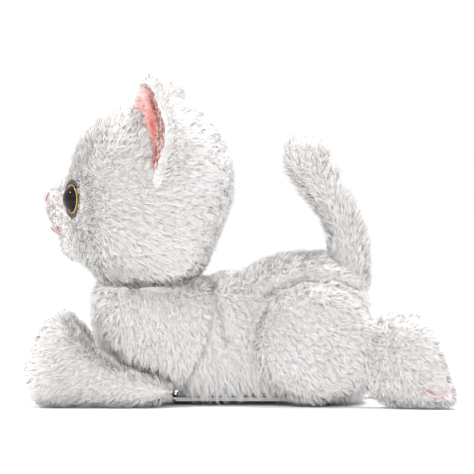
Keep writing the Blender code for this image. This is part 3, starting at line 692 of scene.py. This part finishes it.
def lining(side):
    """The flow, the roots that show and the tint of the lining's herringbone pile: whiter towards the rim,
    lighter towards the top, and darker along the crease as painted shade.
    """
    middle, across = ear_crease(side)
    outwards = np.array(head_turned.to_3x3() @ Vector((side * 0.6, -0.8, 0)))

    def flow(p, n):
        off = ((p - middle) @ across)[:, None]
        return np.array((0, 0, 0.75)) + np.tanh(off / 0.0015) * across * 0.95

    def keep(p, n):
        return n @ outwards > -0.05

    def tint(p, n):
        off = (p - middle) @ across
        rim, crease = smoothstep(off, 0.002, 0.011), np.exp(-((off / 0.0022) ** 2))
        # Painted shade: the pile darkens along the crease, where it parts.
        return 0.45 * rim - 0.28 * crease + 0.35 * smoothstep(p[:, 2], 0.204, 0.222) - 0.08
    return flow, keep, tint


def eye_matrix(side):
    facing = Matrix.Rotation(EYE_TURN, 4, "Z") @ Matrix.Rotation(math.pi / 2, 4, "X")
    at = Matrix.Translation(EYE_CENTRE) @ facing
    if side < 0:
        at = Matrix.Scale(-1, 4, (1, 0, 0)) @ at
    return head_turned @ at


EYES = [np.array(eye_matrix(side).translation) for side in (1, -1)]


def head_keep(p, n):
    """No pile over the eyes or inside the neck opening."""
    on = np.ones(len(p), bool)
    for eye in EYES:
        on &= np.linalg.norm(p - eye, axis=1) > EYE_CLEARANCE
    return on & ~head_openings(p, n)


def torso_keep(p, n):
    """No pile on the belly plate."""
    under = (np.abs(p[:, 0]) < BELLY["x"]) & (p[:, 1] > BELLY["y"][0]) & (p[:, 1] < BELLY["y"][1])
    return ~(under & (p[:, 2] < 0.02) & (n[:, 2] < -0.2))


def muzzle_growth(p, n):
    """Short pile on the muzzle and round the eyes, long at the cheeks."""
    return 0.5 + 0.5 * smoothstep(muzzle_distance(p), 0.020, 0.045)


grow("torso_fur", "torso", torso, torso_tree, flow_torso, 11, keep=torso_keep, seams=TORSO_SEAMS,
     length=7.2, growth=flank_growth, near=(0.5, 2.6), most=MOST_STRANDS_BIG)
grow("head_fur", "head", head, head_tree, flow_head, 12, keep=head_keep, growth=muzzle_growth, length=7.4,
     near=(0.6, 4.0), most=MOST_STRANDS_BIG)
for side, sign in (("left", 1), ("right", -1)):
    seed = 20 if sign > 0 else 40
    grow(f"front_leg_{side}_fur", f"front_leg_{side}", *skins[f"front_leg_{side}"], flow_front, seed + 1,
         length=6.8)
    grow(f"hind_leg_{side}_fur", f"hind_leg_{side}", *skins[f"hind_leg_{side}"], flow_hind, seed + 2,
         length=7.2)
    grow(f"ear_{side}_fur", "head", *skins[f"ear_{side}"], flow_ear(sign), seed + 3, length=6.2, density=1.8,
         tuft=3.4, near=(0.5, 2.2))
    flow, keep, tint = lining(sign)
    grow(f"ear_lining_{side}_fur", "head", *skins[f"ear_lining_{side}"], flow, seed + 4, length=6.0,
         density=2.6, tuft=2.6, clump=0.75, width=0.4, lift=(50, 18), wild=0.16, keep=keep, tint=tint,
         material=PINK_FUR, slot="pink_plush", near=(-9, -8))
grow("tail_fur", "tail", *skins["tail"], flow_tail, 30, length=8.5)


# ---------------------------------------------------------------- eyes


def lathe(name, profile, count, matrix, body, finish, node, closed=False):
    """A turned piece. Profile is (radius, height) in mm; with closed it is a ring's section."""
    points, faces = [], []
    for radius, height in profile:
        for k in range(count):
            a = 2 * math.pi * k / count
            points.append(matrix @ (Vector((radius * math.cos(a), radius * math.sin(a), height)) * MM))
    rows = len(profile)
    for r in range(rows if closed else rows - 1):
        for k in range(count):
            s = (r + 1) % rows
            m = (k + 1) % count
            faces.append((r * count + k, r * count + m, s * count + m, s * count + k))
    if not closed:
        faces.append(tuple(reversed(range(count))))
        faces.append(tuple((rows - 1) * count + k for k in range(count)))
    if matrix.determinant() < 0:
        faces = [tuple(reversed(f)) for f in faces]
    obj = new_object(name, points, faces)
    obj.data.materials.append(finish)
    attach(obj, body)
    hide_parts(node)
    return obj


def felt_outline(k, count):
    """Scalloped felt with a point at its upper outer corner."""
    a = 2 * math.pi * k / count
    radius = 13.0 + 0.6 * abs(math.cos(5.5 * a))
    off = (a - math.radians(48) + math.pi) % (2 * math.pi) - math.pi
    return a, radius + 4.2 * math.exp(-((off / 0.24) ** 2))


for side, sign in (("left", 1), ("right", -1)):
    at = eye_matrix(sign)
    dome = [(9.0, -7.5), (9.0, 0.0)]
    dome += [(9.0 * math.cos(t), 5.9 * math.sin(t)) for t in np.radians(np.arange(4, 88, 5.5))]
    lathe(f"eye_dome_{side}", dome, 64, at, "head", FINISHES["black_gloss"], f"eye_{side}")
    rim = [(9.75 + 0.55 * math.cos(t), 0.25 + 0.6 * math.sin(t)) for t in np.arange(0, 6.28, math.pi / 6)]
    lathe(f"eye_rim_{side}", rim, 64, at, "head", FINISHES["gold_rim"], f"eye_ring_{side}", True)
    count = 90
    rings = []
    for share, height in ((0.72, -0.9), (1.0, -0.9), (1.02, -0.3), (0.97, 0.15), (0.72, 0.2)):
        ring = []
        for k in range(count):
            a, radius = felt_outline(k, count)
            ring.append((radius * share * math.cos(a), radius * share * math.sin(a), height))
        rings.append(ring)
    points = [at @ (Vector(q) * MM) for ring in rings for q in ring]
    faces = []
    for r in range(5):
        for k in range(count):
            s, m = (r + 1) % 5, (k + 1) % count
            faces.append((r * count + k, r * count + m, s * count + m, s * count + k))
    if sign < 0:
        faces = [tuple(reversed(f)) for f in faces]
    felt = new_object(f"eye_felt_{side}", points, faces)
    felt.data.materials.append(FINISHES["dark_felt"])
    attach(felt, "head")
    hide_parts(f"eye_backing_{side}")


# ---------------------------------------------------------------- floor, light and camera


def stage_and_light():
    floor = new_object("floor", [(-9, -9, 0), (9, -9, 0), (9, 9, 0), (-9, 9, 0)], [(0, 1, 2, 3)])
    mat, _, _, bsdf = shader("pale_floor", 0.9)
    bsdf.inputs["Base Color"].default_value = (0.95, 0.95, 0.95, 1)
    floor.data.materials.append(mat)

    world = bpy.data.worlds.new("studio")
    world.use_nodes = True
    back = world.node_tree.nodes["Background"]
    back.inputs["Color"].default_value = (1, 1, 1, 1)
    back.inputs["Strength"].default_value = 1.06
    bpy.context.scene.world = world
    target = Vector((0, 0, 0.1))
    for name, at, size, energy, colour in (
        ("key", (-0.25, 0.25, 1.35), 0.7, 17, (1.0, 0.985, 0.99)),
        ("front", (1.2, -0.8, 0.9), 0.9, 3, (1.0, 0.97, 0.95)),
        ("glint", (0.25, -1.1, 1.05), 0.19, 6, (1.0, 1.0, 1.0)),
    ):
        light = bpy.data.lights.new(name, "AREA")
        light.size, light.energy, light.color = size, energy, colour
        lamp = bpy.data.objects.new(name, light)
        lamp.location = at
        lamp.rotation_euler = (target - Vector(at)).to_track_quat("-Z", "Y").to_euler()
        bpy.context.scene.collection.objects.link(lamp)


def camera():
    data = bpy.data.cameras.new("camera")
    data.lens, data.sensor_width = 400, 36
    data.clip_start, data.clip_end = 0.05, 40
    cam = bpy.data.objects.new("camera", data)
    elevation = math.radians(2)
    distance = 0.3346 * data.lens / data.sensor_width
    centre = Vector((0, -0.0025, 0.117))
    cam.location = centre + distance * Vector((math.cos(elevation), 0, math.sin(elevation)))
    cam.rotation_euler = (centre - cam.location).to_track_quat("-Z", "Y").to_euler()
    bpy.context.scene.collection.objects.link(cam)
    bpy.context.scene.camera = cam


stage_and_light()
camera()
bpy.context.scene.view_settings.view_transform = "Standard"
